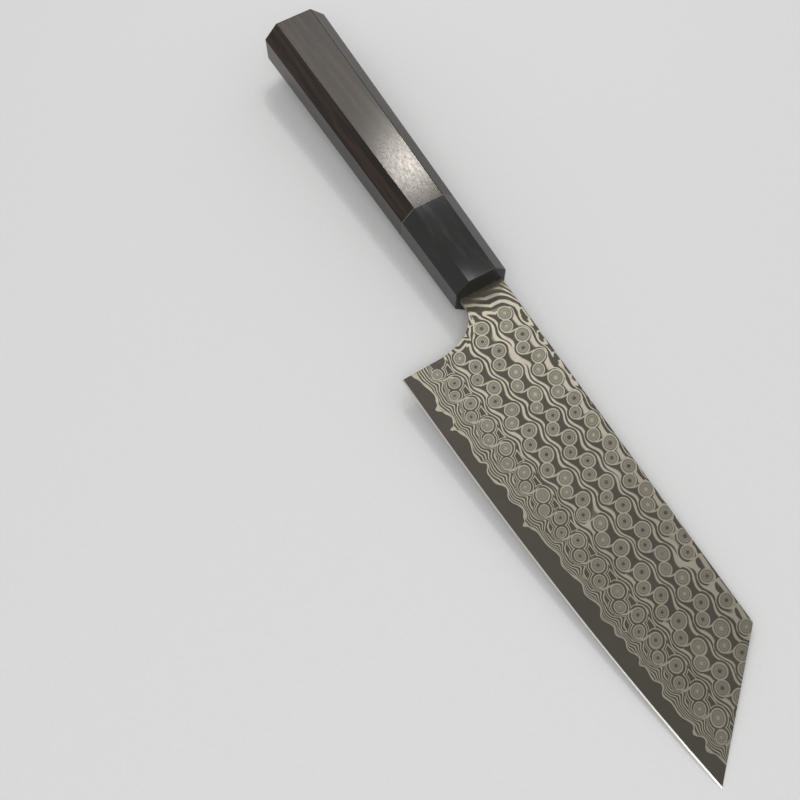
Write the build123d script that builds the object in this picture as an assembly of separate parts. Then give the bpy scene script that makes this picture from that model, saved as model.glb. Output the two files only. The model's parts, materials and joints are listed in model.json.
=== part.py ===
from build123d import *
import math
import os

os.makedirs("parts", exist_ok=True)

# The knife is built about the handle's axis. Zero is the middle of the handle's front
# face, X runs along the handle to the tip, Y from the cutting edge to the spine, and Z
# is the thickness, with the right side of the blade up. At the end the whole knife is
# tipped and lifted, so that it lies on a table as it does when it is put down.

# Handle: eight flats in a straight taper, largest at the butt
handle_length = 144.0
ferrule_length = 37.2
butt_height = 27.3
butt_thickness = 21.8
butt_corner_cut = 5.7
mouth_height = 21.2
mouth_thickness = 19.5
mouth_corner_cut = 4.9
edge_round = 0.6
glue_film = 0.2

# Dowel that joins the ferrule to the grip and holds the tang
dowel_diameter = 14.0
dowel_fit = 0.05
mouth_wall = 8.0
dowel_end_wall = 5.0
bore_end_room = 0.5

# Tang, and the slot around it that is filled with resin
tang_length = 85.0
tang_root_height = 10.4
tang_end_height = 6.4
tang_thickness = 1.6
tang_side_room = 0.4
tang_end_room = 1.0

# Blade outline, each place measured from the middle of the handle's mouth
spine_height_at_mouth = 8.9
neck_depth_at_mouth = 9.0
neck_length = 3.2
choil_width = 13.8
choil_height = 20.0
heel_lean = 0.3
heel_drop = 43.5
tip_reach = 181.8
tip_drop = 31.0
edge_belly = 2.25
edge_skew_share = 0.2
clip_reach = 147.2
clip_height = 7.8

# Blade section: three layers ground to one wedge, with a small bevel at the edge
spine_thickness = 2.2
core_thickness = 0.32
cladding_foot = 0.04
bevel_half_angle = 18.0
spine_ease = 0.15

# Border between the bare core steel and the cladding, alike on both sides: each crest,
# foot and shoulder of its waves, as a share of the edge's run from the heel and a share
# of the band's height over the edge
core_band_height = 6.9
border_turn_shares = (
    (0.000, 0.54), (0.026, 0.75), (0.065, 0.92), (0.087, 0.75), (0.097, 0.51), (0.109, 0.76),
    (0.129, 0.96), (0.144, 0.83), (0.152, 0.52), (0.159, 0.77), (0.189, 0.98), (0.226, 0.72),
    (0.242, 0.73), (0.255, 0.98), (0.273, 0.72), (0.295, 0.73), (0.319, 1.05), (0.343, 0.80),
    (0.373, 1.06), (0.395, 0.80), (0.404, 0.57), (0.413, 0.78), (0.431, 0.94), (0.457, 0.92),
    (0.492, 1.08), (0.512, 0.88), (0.536, 0.96), (0.560, 1.09), (0.582, 0.90), (0.615, 1.09),
    (0.637, 0.79), (0.661, 0.99), (0.677, 0.83), (0.691, 1.01), (0.712, 0.83), (0.733, 1.01),
    (0.746, 0.80), (0.755, 0.94), (0.780, 0.83), (0.796, 1.01), (0.815, 0.70), (0.833, 0.80),
    (0.857, 0.72), (0.884, 0.91), (0.898, 0.64), (0.914, 0.90), (0.934, 0.60), (0.950, 0.83),
    (1.000, 0.88),
)

# Points that carry the curved edge, and the overrun of cutting shapes
edge_points = 12
overrun = 5.0

# Places that follow from the sizes above
heel_x = neck_length + choil_width + heel_lean
edge_run = tip_reach - heel_x
edge_rise = heel_drop - tip_drop
edge_chord = math.hypot(edge_run, edge_rise)
blade_height = heel_drop + spine_height_at_mouth
handle_room = butt_height + butt_thickness
slot_height = tang_root_height + 2 * tang_side_room
slot_thickness = tang_thickness + 2 * tang_side_room
slot_end = tang_length + tang_end_room
dowel_end = slot_end + dowel_end_wall
bore_diameter = dowel_diameter + 2 * dowel_fit

# The cladding feathers out where the wedge is a little thicker than the core alone
foot_thickness = core_thickness + 2 * cladding_foot
lowest_turn_share = min(height_share for along_share, height_share in border_turn_shares)
lowest_foot = core_band_height * lowest_turn_share - edge_belly
wedge_growth = (spine_thickness - foot_thickness) / (blade_height - lowest_foot)


def corners(x):
    """Corners of the handle's eight-sided section at x, between the butt and the mouth."""
    share = -x / handle_length
    half_height = (mouth_height + (butt_height - mouth_height) * share) / 2
    half_thickness = (mouth_thickness + (butt_thickness - mouth_thickness) * share) / 2
    cut = mouth_corner_cut + (butt_corner_cut - mouth_corner_cut) * share
    points = []
    for side_y, side_z in ((1, 1), (-1, 1), (-1, -1), (1, -1)):
        pair = [
            (x, side_y * half_height, side_z * (half_thickness - cut)),
            (x, side_y * (half_height - cut), side_z * half_thickness),
        ]
        if side_y * side_z < 0:
            pair.reverse()
        points += pair
    return points


def handle_form():
    """The whole outside of the handle, with its edges softened."""
    butt = corners(-handle_length)
    mouth = corners(0)
    outlines = [butt, mouth]
    for index in range(len(butt)):
        outlines.append((butt[index - 1], butt[index], mouth[index], mouth[index - 1]))
    faces = [make_face(Polyline(*points, close=True)) for points in outlines]
    form = Solid(Shell(faces))
    return fillet(form.edges(), edge_round)


def flat_bar(x_from, x_to, height, thickness):
    """A flat bar along the handle's axis."""
    return Pos((x_from + x_to) / 2, 0, 0) * Box(abs(x_to - x_from), height, thickness)


def round_bar(x_from, x_to, diameter):
    """A round bar along the handle's axis."""
    bar = Rot(0, 90, 0) * Cylinder(diameter / 2, abs(x_to - x_from))
    return Pos((x_from + x_to) / 2, 0, 0) * bar


def stretch(form, x_from, x_to):
    """The part of a form that lies between two places along the handle's axis."""
    return form & flat_bar(x_from, x_to, handle_room, handle_room)


def thickness_over_chord(height):
    """Thickness of the ground wedge at a height over the chord of the edge."""
    return foot_thickness + wedge_growth * (height - lowest_foot)


def edge_height(x):
    """Height of the cutting edge at x: the chord from heel to tip, with a belly."""
    share = (x - heel_x) / edge_run
    chord = -heel_drop + edge_rise * share
    skew = 1 + edge_skew_share * (2 * share - 1)
    return chord - edge_belly * 4 * share * (1 - share) * skew


def border_arcs():
    """The cladding's lower border, which sways over the edge from each turn to the next."""
    turns = []
    for along_share, height_share in border_turn_shares:
        turns.append((heel_x + edge_run * along_share, core_band_height * height_share))
    arcs = []
    for (x_from, height_from), (x_to, height_to) in zip(turns, turns[1:]):
        points = []
        for share in (0, 1 / 4, 1 / 2, 3 / 4, 1):
            x = x_from + (x_to - x_from) * share
            eased_share = share * share * (3 - 2 * share)
            height = height_from + (height_to - height_from) * eased_share
            points.append((x, edge_height(x) + height))
        arcs.append(ThreePointArc(*points[:3]))
        arcs.append(ThreePointArc(*points[2:]))
    return arcs


def edge_curve():
    """The cutting edge from the heel to the tip."""
    points = []
    for index in range(edge_points + 1):
        x = heel_x + edge_run * index / edge_points
        points.append((x, edge_height(x)))
    return Spline(*points)


def blade_outline():
    """Blade and tang in one outline, seen from the side."""
    edge = edge_curve()
    clip_corner = (clip_reach, clip_height)
    choil_low = (neck_length + choil_width, -neck_depth_at_mouth - choil_height)
    choil = EllipticalCenterArc(
        (neck_length, choil_low[1]), choil_width, choil_height, start_angle=0, arc_size=90
    )
    sides = [
        edge,
        Line(edge @ 1, clip_corner),
        Polyline(
            clip_corner,
            (0, spine_height_at_mouth),
            (0, tang_root_height / 2),
            (-tang_length, tang_end_height / 2),
            (-tang_length, -tang_end_height / 2),
            (0, -tang_root_height / 2),
            (0, -neck_depth_at_mouth),
            (neck_length, -neck_depth_at_mouth),
        ),
        choil,
        Line(choil_low, edge @ 0),
    ]
    return make_face(sides)


def ground_wedge():
    """The ground section, run along the chord of the edge, and thinned flat on the tang."""
    across = (-edge_rise / edge_chord, edge_run / edge_chord, 0)
    along = (edge_run / edge_chord, edge_rise / edge_chord, 0)
    low = -2 * edge_belly
    high = blade_height + handle_room
    half_low = thickness_over_chord(low) / 2
    half_high = thickness_over_chord(high) / 2
    profile = Polyline(
        (low, -half_low), (high, -half_high), (high, half_high), (low, half_low), close=True
    )
    plane = Plane((heel_x, -heel_drop, 0), x_dir=across, z_dir=along)
    wedge = extrude(plane * make_face(profile), handle_length + tip_reach, both=True)
    beside_tang = flat_bar(-handle_length, 0, handle_room, handle_room)
    shift = (handle_room + tang_thickness) / 2
    return wedge - Pos(0, 0, shift) * beside_tang - Pos(0, 0, -shift) * beside_tang


def bevelled_room():
    """All that the two small bevels leave, from the cutting edge up to the spine."""
    edge = edge_curve()
    lead = Vector(handle_length, handle_length * edge_rise / edge_run)
    behind = edge @ 0 - lead
    ahead = edge @ 1 + lead
    area = make_face([
        edge,
        Polyline(
            edge @ 1,
            ahead,
            (ahead.X, blade_height),
            (behind.X, blade_height),
            behind,
            edge @ 0,
        ),
    ])
    back = spine_thickness / math.tan(math.radians(bevel_half_angle))
    length = math.hypot(back, spine_thickness)
    upper = extrude(area, length, dir=(0, back, spine_thickness))
    lower = extrude(area, length, dir=(0, back, -spine_thickness))
    return upper + lower


def area_over_border():
    """The area over the cladding's lower border, seen from the side."""
    arcs = border_arcs()
    start = arcs[0] @ 0
    end = arcs[-1] @ 1
    rest = Polyline(
        end,
        (end.X, blade_height),
        (-handle_length, blade_height),
        (-handle_length, start.Y),
        start,
    )
    return make_face(arcs + [rest])


def right_layer(outline, wedge):
    """The layer on the core's right side, which feathers out at its border."""
    base = Plane.XY.offset(core_thickness / 2) * (outline & area_over_border())
    return extrude(base, spine_thickness) & wedge


def eased_spine(layer):
    """The layer with its outer corner broken along the spine."""
    long_edges = layer.edges().filter_by(lambda edge: edge.length > clip_reach / 2)
    before_mouth = long_edges.filter_by_position(Axis.X, 0, tip_reach)
    spine_edges = before_mouth.filter_by_position(Axis.Y, 0, blade_height)
    return chamfer(spine_edges.sort_by(Axis.Z)[-1], spine_ease)


def make_core(outline, wedge, right, left):
    """The middle layer, bare below the border and ground to the cutting edge."""
    blank = extrude(outline, spine_thickness, both=True) & wedge & bevelled_room()
    return blank - right - left


def make_ferrule(form):
    """The horn cap at the handle's front, with a blind bore and a slot for the tang."""
    ferrule = stretch(form, -ferrule_length, overrun)
    ferrule -= round_bar(-ferrule_length - overrun, -mouth_wall, bore_diameter)
    return ferrule - flat_bar(-mouth_wall - overrun, overrun, slot_height, slot_thickness)


def make_glue_film(form):
    """The film of glue that shows as a pale line between the ferrule and the grip."""
    film = stretch(form, -ferrule_length - glue_film, -ferrule_length)
    return film - round_bar(-dowel_end, 0, bore_diameter)


def make_grip(form):
    """The wooden grip, bored blind for the dowel."""
    grip = stretch(form, -handle_length - overrun, -ferrule_length - glue_film)
    return grip - round_bar(-dowel_end - bore_end_room, 0, bore_diameter)


def make_dowel():
    """The dowel between ferrule and grip, slotted from its front for the tang."""
    dowel = round_bar(-dowel_end, -mouth_wall, dowel_diameter)
    return dowel - flat_bar(-slot_end, overrun, slot_height, slot_thickness)


def make_resin(tang_layers):
    """The resin that fills the slot around the tang, flush with the handle's mouth."""
    resin = flat_bar(-slot_end, 0, slot_height, slot_thickness)
    for layer in tang_layers:
        resin -= layer
    return resin


def resting_tilt():
    """Tilt at which the mouth's lower edge and the tip both touch a table."""
    tip_half = thickness_over_chord(0) / 2
    bevel_height = tip_half / math.tan(math.radians(bevel_half_angle))
    clip_lean = (tip_reach - clip_reach) / (clip_height + tip_drop)
    run = tip_reach - bevel_height * clip_lean + edge_round
    drop = mouth_thickness / 2 - edge_round - tip_half
    return math.degrees(math.atan2(drop, run) + math.asin(edge_round / math.hypot(run, drop)))


outline = blade_outline()
wedge = ground_wedge()
form = handle_form()
layer = right_layer(outline, wedge)
core = make_core(outline, wedge, layer, mirror(layer, about=Plane.XY))
right_cladding = eased_spine(layer)
left_cladding = mirror(right_cladding, about=Plane.XY)

pieces = {
    "core_steel": core,
    "right_cladding": right_cladding,
    "left_cladding": left_cladding,
    "horn_ferrule": make_ferrule(form),
    "joint_glue": make_glue_film(form),
    "wooden_grip": make_grip(form),
    "tang_dowel": make_dowel(),
    "tang_resin": make_resin([core, right_cladding, left_cladding]),
}

turn = Rot(0, resting_tilt(), 0)
bounds = Compound([turn * piece for piece in pieces.values()]).bounding_box()
place = Pos(-bounds.center().X, -bounds.center().Y, -bounds.min.Z) * turn

for name, piece in pieces.items():
    export_step(place * piece, f"parts/{name}.step")

print("tilt in degrees", resting_tilt())
print("handle mouth at", place.position, "size", bounds.size)
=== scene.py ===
import json
import math

import bmesh
import bpy
from mathutils import Matrix, Vector

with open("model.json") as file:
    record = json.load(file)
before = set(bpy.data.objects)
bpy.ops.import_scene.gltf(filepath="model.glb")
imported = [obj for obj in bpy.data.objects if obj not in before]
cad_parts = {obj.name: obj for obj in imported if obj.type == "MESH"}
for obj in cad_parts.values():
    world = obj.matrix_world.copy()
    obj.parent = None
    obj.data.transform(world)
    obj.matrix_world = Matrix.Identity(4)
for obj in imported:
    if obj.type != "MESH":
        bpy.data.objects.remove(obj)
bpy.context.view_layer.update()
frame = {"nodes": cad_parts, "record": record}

TURN = 2 * math.pi
MM = 0.001

# The knife's own frame: zero in the middle of the handle's mouth, X to the tip, Y to the
# spine, Z out of the blade's right side. The butt's mount says where it lies on the table.
HANDLE_LENGTH = 144.0
butt = next(mount for mount in frame["record"]["mounts"] if mount["name"] == "butt_end")
along = -Vector(butt["axis"]).normalized()
across = Vector((0, 1, 0))
outward = along.cross(across).normalized()
mouth = Vector(butt["pos_m"]) + along * HANDLE_LENGTH * MM
resting_tilt = math.atan2(-along.z, along.x)


def on_table(x, y, z):
    """The place on the table, in metres, of a place in the knife's own millimetres."""
    return mouth + (along * x + across * y + outward * z) * MM


def turned(x, y, z):
    """A direction of the knife's own frame, as it lies on the table."""
    return along * x + across * y + outward * z


# Outline of the blade that the steel's finish follows, in millimetres
HEEL_X = 17.3
HEEL_DROP = 43.5
TIP_REACH = 181.8
TIP_DROP = 31.0
EDGE_BELLY = 2.25
EDGE_SKEW = 0.2
SPINE_AT_MOUTH = 8.9
SPINE_AT_CLIP = 7.8
CLIP_REACH = 147.2
SPINE_SLOPE = (SPINE_AT_CLIP - SPINE_AT_MOUTH) / CLIP_REACH
CHOIL_MIDDLE = (3.2, -29.0)
CHOIL_WIDTH = 13.8
CHOIL_HEIGHT = 20.0

# Border between the bare core steel and the cladding: each crest, foot and shoulder of its
# waves, as a share of the edge's run from the heel and a share of the band's height
BAND_HEIGHT = 6.9
BORDER_TURNS = (
    (0.000, 0.54), (0.026, 0.75), (0.065, 0.92), (0.087, 0.75), (0.097, 0.51), (0.109, 0.76),
    (0.129, 0.96), (0.144, 0.83), (0.152, 0.52), (0.159, 0.77), (0.189, 0.98), (0.226, 0.72),
    (0.242, 0.73), (0.255, 0.98), (0.273, 0.72), (0.295, 0.73), (0.319, 1.05), (0.343, 0.80),
    (0.373, 1.06), (0.395, 0.80), (0.404, 0.57), (0.413, 0.78), (0.431, 0.94), (0.457, 0.92),
    (0.492, 1.08), (0.512, 0.88), (0.536, 0.96), (0.560, 1.09), (0.582, 0.90), (0.615, 1.09),
    (0.637, 0.79), (0.661, 0.99), (0.677, 0.83), (0.691, 1.01), (0.712, 0.83), (0.733, 1.01),
    (0.746, 0.80), (0.755, 0.94), (0.780, 0.83), (0.796, 1.01), (0.815, 0.70), (0.833, 0.80),
    (0.857, 0.72), (0.884, 0.91), (0.898, 0.64), (0.914, 0.90), (0.934, 0.60), (0.950, 0.83),
    (1.000, 0.88),
)
MIDDLE_OF_BORDER = 5.7

# The steel's pattern, pairs of ringed drops in slanted rows, in millimetres. A drop is its
# place beside and above the pair's upper drop, and its radius.
FIRST_DROP = (27.2, -28.5)
ROW_SPACING = 10.3
ROW_NARROWING = 0.0055
ROW_SLOPE = 0.066
ROW_SHIFT = 1.2
COLUMN_SPACING = 10.25
COLUMN_NARROWING = 2.96e-5
COLUMN_SLOPE = 0.062
UPPER_DROP = (0.0, 0.0, 2.95)
LOWER_DROP = (4.3, -2.6, 2.6)
NEXT_UPPER = (10.25, 0.64, 2.95)
LAST_LOWER = (-5.95, -3.24, 2.6)

# Drift of the whole pattern with soft noise and the noise's period, and the shift along the
# blade of the left side's pattern
DRIFT = 2.4
DRIFT_PERIOD = 22.0
LEFT_SIDE_SHIFT = 3.4

# Middle of a pair, as a share of a column past its upper drop and of a row under it
PAIR_ACROSS = 0.21
PAIR_DOWN = 0.126

# Pale layers that link the pairs: the place of each one's middle from the upper drop, as a
# share of a column and in millimetres, its direction, and how it bends
LINK_COLUMN = 0.71
LINK_MIDDLE = (7.275, -0.98)
LINK_LEAN = (0.111, 0.994)
LINK_BEND = 0.03

# Highest levels of the forged stack, between the rows and next to the drops, and the share
# of each pair of layers that is pale. The layers between the rows wave once in each column.
VALLEY_TOP = 1.70
PAIR_TOP = 1.95
PALE_SHARE = 0.41
WAVE_START = 0.05
WAVE_HEIGHT = 0.075

# Layers that fan out from the border: how high they reach, how much higher they reach between
# two pairs and at which share of a column, how fast their height shrinks towards the tip, and
# how far over the border they have evened out its waves
FAN_HEIGHT = 6.0
FAN_CREST = 3.6
CREST_COLUMN = 0.74
FAN_NARROWING = 0.016
EVENED_WITHIN = 1.3

# Layers that crowd together at the neck, the choil and the spine. Their reach is measured from
# the mouth, from the choil's middle as a share of its size, and down from the spine. At the
# neck they slant under its middle, and the pattern of rows takes over at the neck's end.
NECK_REACH = 12.6
NECK_MIDDLE = -1
NECK_SLANT = 0.6
NECK_END = (8.0, 12.5)
CHOIL_REACH = 1.24
CHOIL_FOOT = (-23, -19)
CHOIL_TOP = (-13, -8)
SPINE_REACH = 2.0
SPINE_FADE = 40

# Room that a drop's middle keeps from the spine, from the choil's middle as a share of its
# size, and from the handle
SPINE_ROOM = 0.9
CHOIL_ROOM = 1.06
HANDLE_ROOM = 10

# Floor: half its width in metres, and in millimetres its gap under the knife and the
# distances between which it fades. The sky's strength as a lamp, and as it is seen.
FLOOR_HALF_WIDTH = 3.0
FLOOR_GAP = 0.05
FLOOR_FADE = (450, 1150)
SKY_AS_LAMP = 0.7
SKY_SEEN = 0.8

# Soft boxes: name, place and target in the knife's millimetres, width, height and watts
LAMPS = (
    ("strip_box", (-368, 190, 484), (-56, 3, 10), 36, 36, 0.345),
    ("far_box", (-830, 342, 895), (-95, 0, 10), 260, 250, 0.78),
    ("heel_box", (-300, 300, 900), (40, -15, 0), 200, 200, 0.65),
    ("big_box", (520, -420, 900), (20, 0, 0), 700, 500, 3.2),
)

# The photograph's camera: its place and two directions in the knife's frame, and its lens
CAMERA_PLACE = (168.3, -128.8, 339.0)
CAMERA_LOOK = (-0.3838, 0.2143, -0.8982)
CAMERA_UP = (-0.7725, 0.4584, 0.4394)
SENSOR_WIDTH = 36.0
LENS_LENGTH = 48.98
NEAREST_SEEN = 0.01


def tone(red, green, blue):
    """A colour from its values on a screen, 0 to 255."""
    values = []
    for value in (red, green, blue):
        share = value / 255
        values.append(share / 12.92 if share <= 0.04045 else ((share + 0.055) / 1.055) ** 2.4)
    return (*values, 1.0)


class Field:
    """A number or colour that varies from place to place: one socket of a node tree."""

    def __init__(self, nodes, socket):
        self.nodes = nodes
        self.socket = socket

    def __add__(self, other):
        return self.nodes.math("ADD", self, other)

    def __radd__(self, other):
        return self.nodes.math("ADD", other, self)

    def __sub__(self, other):
        return self.nodes.math("SUBTRACT", self, other)

    def __rsub__(self, other):
        return self.nodes.math("SUBTRACT", other, self)

    def __mul__(self, other):
        return self.nodes.math("MULTIPLY", self, other)

    def __rmul__(self, other):
        return self.nodes.math("MULTIPLY", other, self)

    def __truediv__(self, other):
        return self.nodes.math("DIVIDE", self, other)


class Nodes:
    """A node tree, and the one method that adds nodes to it."""

    def __init__(self, tree):
        self.tree = tree

    def node(self, kind, settings, inputs, output=0, turns=()):
        """Adds a node: settings and a curve's turns first, then its sockets' values or links."""
        made = self.tree.nodes.new(kind)
        for name, value in settings.items():
            setattr(made, name, value)
        if turns:
            made.mapping.use_clip = False
            line = made.mapping.curves[0]
            line.points[0].location = turns[0]
            line.points[1].location = turns[-1]
            for turn in turns[1:-1]:
                line.points.new(*turn)
            for point in line.points:
                point.handle_type = "AUTO_CLAMPED"
            made.mapping.update()
        for key, value in inputs.items():
            self.fill(made.inputs[key], value)
        return Field(self, made.outputs[output])

    def fill(self, socket, value):
        """Links a field to a socket, or sets the socket's own value."""
        if isinstance(value, Field):
            self.tree.links.new(value.socket, socket)
        else:
            socket.default_value = value

    def math(self, operation, *values):
        """A Math node."""
        return self.node("ShaderNodeMath", {"operation": operation}, dict(enumerate(values)))

    def ramp(self, value, low, high):
        """A smooth rise from 0 at low to 1 at high."""
        return self.node("ShaderNodeMapRange", {"interpolation_type": "SMOOTHSTEP"}, {
            "Value": value, "From Min": low, "From Max": high,
        })


class Finish(Nodes):
    """One material: its nodes, its shader, and the knife's frame in millimetres."""

    def __init__(self, name, **constants):
        self.material = bpy.data.materials.new(name)
        self.material.use_nodes = True
        super().__init__(self.material.node_tree)
        self.shader = self.tree.nodes["Principled BSDF"]
        self.set(**constants)
        place = self.node("ShaderNodeTexCoord", {}, {}, "Object")
        self.place = self.node("ShaderNodeMapping", {"vector_type": "TEXTURE"}, {
            "Vector": place,
            "Location": mouth,
            "Rotation": (0, resting_tilt, 0),
            "Scale": (MM, MM, MM),
        })
        self.x, self.y, self.z = self.split(self.place)

    def set(self, **inputs):
        """Fills the shader's sockets, whose names have _ for each space."""
        for name, value in inputs.items():
            self.fill(self.shader.inputs[name.replace("_", " ")], value)

    def split(self, vector):
        """The three numbers of a vector."""
        source = self.node("ShaderNodeSeparateXYZ", {}, {"Vector": vector}).socket.node
        return [Field(self, socket) for socket in source.outputs]

    def join(self, x, y, z):
        """A vector of three numbers."""
        return self.node("ShaderNodeCombineXYZ", {}, {0: x, 1: y, 2: z})

    def noise(self, period, detail=2.0, stretch=(1, 1, 1), shift=(0, 0, 0), rough=0.5):
        """Soft noise about 0.5, with a period in millimetres, longer along a stretch."""
        scaled = self.node("ShaderNodeVectorMath", {"operation": "MULTIPLY_ADD"}, {
            0: self.place,
            1: [1 / (period * factor) for factor in stretch],
            2: shift,
        })
        return self.node("ShaderNodeTexNoise", {"noise_dimensions": "3D"}, {
            "Vector": scaled, "Scale": 1.0, "Detail": detail, "Roughness": rough,
        })

    def mix(self, share, start, end):
        """A colour between two colours."""
        return self.node("ShaderNodeMix", {"data_type": "RGBA"}, {0: share, 6: start, 7: end}, 2)

    def bump(self, height, depth):
        """Fine relief, whose full depth is given in millimetres."""
        return self.node("ShaderNodeBump", {}, {
            "Height": height, "Distance": depth * MM, "Strength": 1.0,
        })

    def coat(self, *names):
        """Puts the finish on CAD nodes, whose meshes stay as they are."""
        for name in names:
            for slot in frame["nodes"][name].material_slots:
                slot.material = self.material


def cosine(field):
    return field.nodes.math("COSINE", field)


def exponent(field):
    return field.nodes.math("EXPONENT", field)


def root(field):
    return field.nodes.math("SQRT", field)


def size(field):
    return field.nodes.math("ABSOLUTE", field)


def fraction(field):
    return field.nodes.math("FRACT", field)


def whole(field):
    return field.nodes.math("ROUND", field)


def least(field, limit):
    return field.nodes.math("MINIMUM", field, limit)


def most(field, limit):
    return field.nodes.math("MAXIMUM", field, limit)


def distance(right, up):
    return root(right * right + up * up)


def edge_height(x):
    """Height of the cutting edge at x."""
    share = (x - HEEL_X) / (TIP_REACH - HEEL_X)
    chord = share * (HEEL_DROP - TIP_DROP) - HEEL_DROP
    skew = (share * 2 - 1) * EDGE_SKEW + 1
    return chord - share * (1 - share) * skew * (4 * EDGE_BELLY)


def border_height(x):
    """Height of the cladding's lower border at x."""
    share = (x - HEEL_X) * (1 / (TIP_REACH - HEEL_X))
    turn = x.nodes.node("ShaderNodeFloatCurve", {}, {"Value": share}, 0, BORDER_TURNS)
    return edge_height(x) + turn * BAND_HEIGHT


def spine_height(x):
    """Height of the spine at x."""
    return x * SPINE_SLOPE + SPINE_AT_MOUTH


def round_choil(x, y):
    """How far a place is from the middle of the choil, which is 1 away from its arc."""
    right = (x - CHOIL_MIDDLE[0]) * (1 / CHOIL_WIDTH)
    up = (y - CHOIL_MIDDLE[1]) * (1 / CHOIL_HEIGHT)
    return distance(right, up)


def stripes(finish, level, share=PALE_SHARE, soft=0.12):
    """Pale layers of 1 and dark layers of 0, by the level of the cut through the stack."""
    turn = fraction(level)
    return finish.ramp(turn, 0.0, soft) * (1 - finish.ramp(turn, share, share + soft))


class Rows:
    """Where each place lies in the pattern: its row and column, and the pair nearest to it."""

    def __init__(self, finish):
        drift_x = (finish.noise(DRIFT_PERIOD, 1, shift=(3.1, 0.0, 7.0)) - 0.5) * DRIFT
        drift_y = (finish.noise(DRIFT_PERIOD, 1, shift=(0.0, 5.3, 2.0)) - 0.5) * DRIFT
        left_side = 1 - finish.ramp(finish.z, -0.05, 0.05)
        moved_x = finish.x + drift_x + left_side * LEFT_SIDE_SHIFT
        moved_y = finish.y + drift_y
        self.run = moved_x - FIRST_DROP[0]
        self.spacing = ROW_SPACING - self.run * ROW_NARROWING
        self.row = (moved_y - FIRST_DROP[1] - self.run * ROW_SLOPE) / self.spacing
        shifted = self.run + self.row * ROW_SHIFT
        self.column = shifted * (1 / COLUMN_SPACING) + shifted * shifted * COLUMN_NARROWING
        self.pitch = COLUMN_SPACING - shifted * (COLUMN_SPACING ** 2 * 2 * COLUMN_NARROWING)
        self.near_column = whole(self.column - PAIR_ACROSS)
        self.near_row = whole(self.row + PAIR_DOWN)
        self.beside = (self.column - self.near_column) * self.pitch
        self.above = self.over_row(self.beside)
        self.lowest = 1 - finish.ramp(self.row, 0.3, 0.55)

    def over_row(self, beside):
        """Height over the nearest row, at a distance beside one of its columns."""
        return (self.row - self.near_row) * self.spacing + beside * COLUMN_SLOPE


def valley_layers(finish, rows, inland):
    """Level of the wavy layers between the rows, with cream patches in the topmost valley."""
    wave = cosine((rows.column - WAVE_START) * TURN) * WAVE_HEIGHT
    patch = finish.ramp(finish.noise(26.0, 1, shift=(6.0, 3.0, 1.0)), 0.5, 0.62)
    patch = patch * finish.ramp(rows.row, 1.7, 2.2)
    higher = finish.ramp(rows.row, 0.6, 1.2)
    under = 1 - finish.ramp(rows.row, 0.15, 0.4)
    valley = root(cosine((rows.row + PAIR_DOWN - wave) * TURN) + 1.004)
    valley = exponent(valley * (patch * 1.5 - higher * 0.6 - 2.3))
    depth = 1.6 - higher * 0.5 - patch * 0.45
    return VALLEY_TOP - most(valley * depth, under * 2.0) * inland


def pair_layers(finish, rows, fan, inland):
    """Level of the layers round each pair of drops, dark next to the drops."""
    away = 9.0
    for right, up, radius in (UPPER_DROP, LOWER_DROP, NEXT_UPPER, LAST_LOWER):
        away = least(distance(rows.beside - right, rows.above - up) - radius, away)
    away = most(away + rows.lowest * 0.4, 0)
    falling = away * (rows.lowest * 0.45 + 0.4) + away * away * (0.8 - rows.lowest * 0.5)
    falling = falling + finish.ramp(fan, 0.15, 0.75) * 2.6
    return (PAIR_TOP - falling) * inland


def border_layers(finish, rows):
    """Rise over the border and over its middle line, and how far the layers fan out there."""
    x = least(most(finish.x, HEEL_X), TIP_REACH)
    rise = finish.y - border_height(x)
    plain = finish.y - edge_height(x) - MIDDLE_OF_BORDER
    eased = plain - (plain - rise) * exponent(most(rise, 0) * (-1 / EVENED_WITHIN))
    crest = exponent((cosine((rows.column - CREST_COLUMN) * TURN) - 1) * 2.2)
    reach = crest * FAN_CREST - rows.run * FAN_NARROWING + FAN_HEIGHT
    fan = most(1 - eased / reach, 0)
    return rise, plain, fan


def end_layers(finish, level, from_mouth, wobble):
    """The level, with the layers that crowd together at the neck, the choil and the spine."""
    x, y = finish.x, finish.y
    at_choil = most(CHOIL_REACH - round_choil(x, y), 0) * 8.0 * finish.ramp(y, *CHOIL_FOOT)
    at_choil = at_choil * (1 - finish.ramp(y, *CHOIL_TOP))
    at_neck = most(NECK_REACH - from_mouth + wobble * 1.2, 0) * 0.31
    level = level - distance(at_neck, at_choil)
    at_spine = exponent((y - spine_height(x)) * (1 / SPINE_REACH))
    return level - at_spine * (exponent(x * (-1 / SPINE_FADE)) * 1.6 + 1.0)


def link_layers(finish, rows, fan, inland):
    """Pale layers that link each lower drop's foot to the next upper drop's top."""
    side = (rows.column - whole(rows.column - LINK_COLUMN)) * rows.pitch
    lift = rows.over_row(side) - LINK_MIDDLE[1]
    side = side - LINK_MIDDLE[0]
    run_up = side * LINK_LEAN[0] + lift * LINK_LEAN[1]
    bend = run_up * run_up * run_up * LINK_BEND
    off = side * LINK_LEAN[1] - lift * LINK_LEAN[0] - bend
    linked = 1 - finish.ramp(size(off), 0.16, 0.42)
    linked = linked * (1 - finish.ramp(size(run_up), 2.4, 3.1)) * inland
    return linked * 0.9 * (1 - finish.ramp(fan, 0.3, 0.5))


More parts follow.
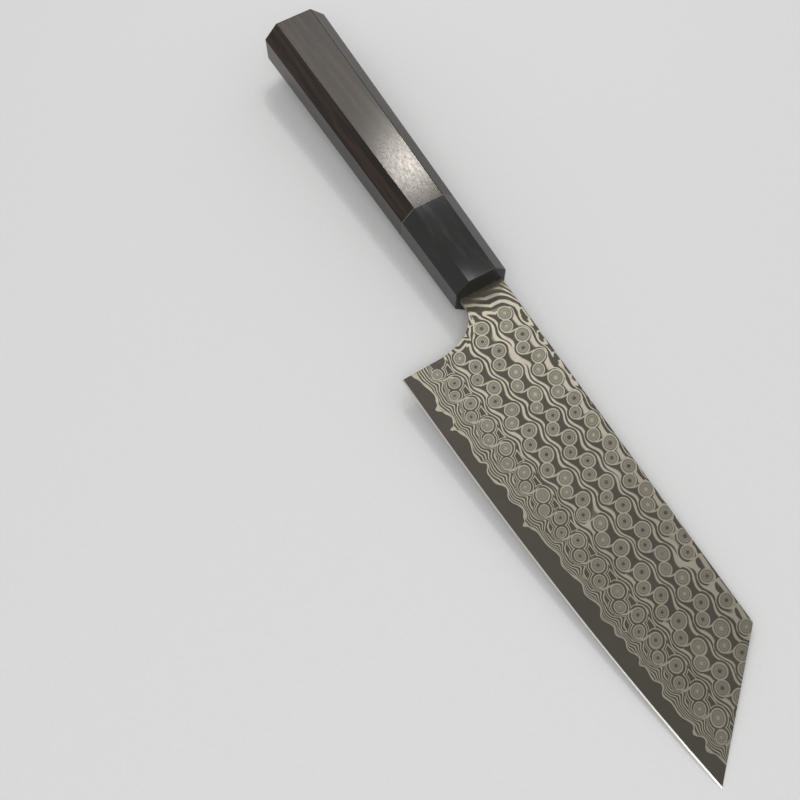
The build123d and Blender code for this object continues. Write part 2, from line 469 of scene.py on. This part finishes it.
def ringed_drops(finish, rows):
    """The drops that the outline doesn't cut: where they are, and how pale their rings are."""
    x, y = finish.x, finish.y
    chance = finish.node("ShaderNodeTexWhiteNoise", {"noise_dimensions": "2D"}, {
        "Vector": finish.join(rows.near_column + 20, rows.near_row + 20, 0),
    }, "Color")
    chances = finish.split(chance)
    cone = 0.0
    rings = 0.0
    for (right, up, radius), luck in zip((UPPER_DROP, LOWER_DROP), chances):
        reach = (radius - rows.lowest * 0.45) * (luck * 0.1 + 0.93)
        aside, over = rows.beside - right, rows.above - up
        drop = most(1 - distance(aside, over) / reach, 0)
        under_spine = spine_height(x) - y + over - SPINE_ROOM
        off_choil = (round_choil(x - aside, y - over) - CHOIL_ROOM) * 10
        inside = least(least(under_spine, off_choil), x - aside - HANDLE_ROOM)
        drop = drop * finish.ramp(inside, 0.2, 0.5)
        count = fraction(luck * 7.0) * 1.2 + 3.8
        rings = most(drop * count, rings)
        cone = most(drop, cone)

    # Pale rings on a greyer disc with a pale rim, and a pale or a dark eye
    coin = stripes(finish, rings * root(cone + 0.1) * 0.95, 0.46, 0.16) * 0.42
    coin = coin + 0.66 - finish.ramp(cone, 0.08, 0.16) * 0.40
    eye = finish.ramp(cone, 0.72, 0.84)
    coin = coin * (1 - eye) + eye * finish.ramp(chances[2], 0.6, 0.7) * 0.8
    return finish.ramp(cone, 0.0, 0.04), coin


def forged_layers(finish):
    """How pale each place is, by the layer of the forged stack that lies bare there."""
    rows = Rows(finish)
    from_mouth = finish.x + most(NECK_MIDDLE - finish.y, 0) * NECK_SLANT
    inland = finish.ramp(from_mouth, *NECK_END)
    cloud = (finish.noise(14.0, 1, shift=(9.0, 1.0, 4.0)) - 0.5) * 0.7
    wobble = finish.noise(5.0, 2, shift=(2.0, 8.0, 6.0)) - 0.5
    rise, plain, fan = border_layers(finish, rows)

    level = valley_layers(finish, rows, inland)
    level = most(level, pair_layers(finish, rows, fan, inland)) + cloud
    level = level - fan * (root(fan + 0.02) * 5.8 + wobble)
    pale = stripes(finish, end_layers(finish, level, from_mouth, wobble))
    pale = most(pale, link_layers(finish, rows, fan, inland))

    disc, coin = ringed_drops(finish, rows)
    disc = disc * (1 - finish.ramp(fan, 0.5, 0.7))
    pale = pale * (1 - disc) + coin * disc
    rim = most(1 - finish.ramp(rise, 0.35, 0.6), 1 - finish.ramp(plain, -0.6, -0.1))
    return most(pale, rim * 0.95)


def facing(finish):
    """How far a face looks out of the blade's side: 1 on the side, 0 on the spine."""
    normal = finish.node("ShaderNodeNewGeometry", {}, {}, "True Normal")
    dot = finish.node("ShaderNodeVectorMath", {"operation": "DOT_PRODUCT"}, {
        0: normal, 1: outward,
    }, "Value")
    return size(dot)


def layered_steel():
    """Etched layered steel: pale nickel layers between dark ones, with painted shade as a brown
    wash on the neck next to the ferrule.
    """
    finish = Finish("layered_steel", Metallic=1.0)
    edge_lines = stripes(finish, finish.z * 5 + finish.noise(9.0, 2) * 1.6) * 0.5 + 0.25
    side = finish.ramp(facing(finish), 0.6, 0.8)
    pale = forged_layers(finish) * side + edge_lines * (1 - side)

    cloud = finish.noise(14.0, 3)
    grain = finish.noise(0.35, 2, stretch=(4, 1, 1))
    # Painted shade: the first millimetres of the neck, next to the ferrule, are washed half over
    # with a flat warm brown that dulls the layers there.
    neck = 1 - finish.ramp(finish.x, 1.0, 6.0)
    dark_layer = finish.mix(cloud, tone(75, 71, 64), tone(88, 83, 76))
    pale_layer = finish.mix(cloud, tone(144, 139, 125), tone(160, 155, 140))
    layers = finish.mix(pale, dark_layer, pale_layer)
    finish.set(
        Base_Color=finish.mix(neck * 0.5, layers, tone(150, 140, 123)),
        Roughness=0.52 - pale * 0.14 + (grain - 0.5) * 0.16,
        Normal=finish.bump(pale + grain * 0.25, 0.006),
    )
    finish.coat("right_cladding", "left_cladding")


def hard_steel():
    """Core steel: a matt etched band, a bright ground bevel and bright edges elsewhere."""
    finish = Finish("hard_steel", Metallic=1.0)
    side = finish.ramp(facing(finish), 0.975, 0.99)
    cloud = finish.noise(11.0, 3)
    haze = finish.noise(0.3, 2, stretch=(5, 1, 1))
    scratches = finish.noise(0.12, 3, stretch=(60, 1, 1))
    band = finish.mix(cloud, tone(75, 71, 65), tone(85, 81, 74))
    bright = finish.mix(scratches, tone(184, 181, 173), tone(222, 219, 210))
    finish.set(
        Base_Color=finish.mix(side, bright, band),
        Roughness=side * 0.22 + 0.3 + (haze - 0.5) * 0.12,
        Normal=finish.bump(haze * side + scratches * (1 - side), 0.004),
    )
    finish.coat("core_steel")


def ebony():
    """Oiled ebony: near black with brown streaks, fine pores and a satin sheen."""
    finish = Finish("ebony", Specular_IOR_Level=0.25, Specular_Tint=tone(255, 247, 236))
    streaks = finish.noise(2.2, 4, stretch=(22, 1, 1), rough=0.62)
    fine = finish.noise(0.55, 3, stretch=(2, 1, 1), rough=0.6)
    pores = finish.noise(0.2, 1, stretch=(8, 1, 1), shift=(4.0, 2.0, 1.0))
    pore = finish.ramp(pores, 0.66, 0.74)
    warm = finish.noise(16.0, 2, stretch=(3, 1, 1))
    brown = finish.mix(warm, tone(46, 36, 30), tone(62, 47, 39))
    wood = finish.mix(finish.ramp(streaks, 0.4, 0.68), tone(30, 25, 22), brown)
    finish.set(
        Base_Color=finish.mix(pore * 0.6, wood, tone(12, 10, 9)),
        Roughness=(streaks - 0.5) * 0.03 + (fine - 0.5) * 0.16 + 0.165,
        Normal=finish.bump(fine - pore * 0.7, 0.0026),
    )
    finish.coat("wooden_grip")


def buffalo_horn():
    """Polished black horn with grey-green wisps that run along it, duller at its cut end."""
    finish = Finish("buffalo_horn", Specular_IOR_Level=0.42)
    cut_end = finish.ramp(finish.x, -0.6, -0.1)
    wisps = finish.noise(3.2, 4, stretch=(5, 1, 1), rough=0.6)
    clouds = finish.noise(9.0, 2, shift=(5.0, 2.0, 8.0))
    hairs = finish.noise(0.4, 2, stretch=(40, 1, 1))
    base = finish.mix(clouds, tone(18, 18, 17), tone(30, 31, 28))
    finish.set(
        Base_Color=finish.mix(finish.ramp(wisps, 0.5, 0.78), base, tone(44, 46, 39)),
        Roughness=(wisps - 0.5) * 0.04 + hairs * 0.02 + cut_end * 0.34 + 0.06,
        Normal=finish.bump(hairs, 0.0006),
    )
    finish.coat("horn_ferrule")


def pale_glue():
    """Dried glue in the joint, pale and slightly mottled."""
    finish = Finish("pale_glue")
    mottle = finish.noise(0.8, 3)
    finish.set(
        Base_Color=finish.mix(mottle, tone(96, 91, 82), tone(132, 126, 115)),
        Roughness=mottle * 0.2 + 0.45,
    )
    finish.coat("joint_glue")


def turned_wood():
    """Plain turned wood of the dowel inside the handle."""
    finish = Finish("turned_wood")
    streaks = finish.noise(1.6, 4, stretch=(14, 1, 1))
    finish.set(
        Base_Color=finish.mix(streaks, tone(168, 134, 92), tone(214, 184, 140)),
        Roughness=streaks * 0.2 + 0.5,
        Normal=finish.bump(streaks, 0.03),
    )
    finish.coat("tang_dowel")


def dark_resin():
    """Dark casting resin around the tang."""
    finish = Finish("dark_resin")
    cloud = finish.noise(2.5, 3)
    finish.set(
        Base_Color=finish.mix(cloud, tone(30, 24, 19), tone(54, 43, 33)),
        Roughness=cloud * 0.2 + 0.35,
    )
    finish.coat("tang_resin")


def white_floor():
    """A plain pale floor, which fades into the sky well away from the knife."""
    shape = bmesh.new()
    bmesh.ops.create_grid(shape, x_segments=1, y_segments=1, size=FLOOR_HALF_WIDTH)
    bmesh.ops.translate(shape, verts=shape.verts, vec=(0, 0, -FLOOR_GAP * MM))
    mesh = bpy.data.meshes.new("floor")
    shape.to_mesh(mesh)
    shape.free()
    floor = bpy.data.objects.new("floor", mesh)
    bpy.context.scene.collection.objects.link(floor)
    finish = Finish("floor_paper")
    speck = finish.noise(1.4, 2)
    finish.set(
        Base_Color=finish.mix(speck, tone(220, 220, 219), tone(225, 225, 224)),
        Roughness=speck * 0.1 + 0.7,
        Alpha=1 - finish.ramp(distance(finish.x, finish.y), *FLOOR_FADE),
    )
    floor.data.materials.append(finish.material)


def studio_sky():
    """An even pale sky, brighter to the eye and in reflections than as a lamp."""
    world = bpy.data.worlds.new("studio")
    bpy.context.scene.world = world
    world.use_nodes = True
    sky = Nodes(world.node_tree)
    to_eye = sky.node("ShaderNodeLightPath", {}, {}, "Is Camera Ray")
    mirrored = sky.node("ShaderNodeLightPath", {}, {}, "Is Glossy Ray")
    strength = sky.node("ShaderNodeMapRange", {}, {
        "Value": most(to_eye, mirrored), "To Min": SKY_AS_LAMP, "To Max": SKY_SEEN,
    })
    background = world.node_tree.nodes["Background"]
    sky.fill(background.inputs["Color"], tone(238, 238, 239))
    sky.fill(background.inputs["Strength"], strength)


def soft_lamp(name, place, target, width, height, watts):
    """A soft box that looks from a place to a target, both in the knife's millimetres."""
    data = bpy.data.lights.new(name, "AREA")
    data.shape = "RECTANGLE"
    data.size = width * MM
    data.size_y = height * MM
    data.energy = watts
    lamp = bpy.data.objects.new(name, data)
    bpy.context.scene.collection.objects.link(lamp)
    lamp.location = on_table(*place)
    aim = on_table(*target) - lamp.location
    lamp.rotation_euler = aim.to_track_quat("-Z", "Y").to_euler()


def photo_camera():
    """The camera where the photograph was taken from."""
    data = bpy.data.cameras.new("camera")
    data.sensor_width = SENSOR_WIDTH
    data.lens = LENS_LENGTH
    data.clip_start = NEAREST_SEEN
    camera = bpy.data.objects.new("camera", data)
    bpy.context.scene.collection.objects.link(camera)
    look = turned(*CAMERA_LOOK).normalized()
    side = look.cross(turned(*CAMERA_UP).normalized()).normalized()
    pose = Matrix((side, side.cross(look), -look)).transposed().to_4x4()
    pose.translation = on_table(*CAMERA_PLACE)
    camera.matrix_world = pose
    bpy.context.scene.camera = camera


layered_steel()
hard_steel()
ebony()
buffalo_horn()
pale_glue()
turned_wood()
dark_resin()
white_floor()
studio_sky()
for lamp in LAMPS:
    soft_lamp(*lamp)
photo_camera()
bpy.context.scene.view_settings.view_transform = "Standard"
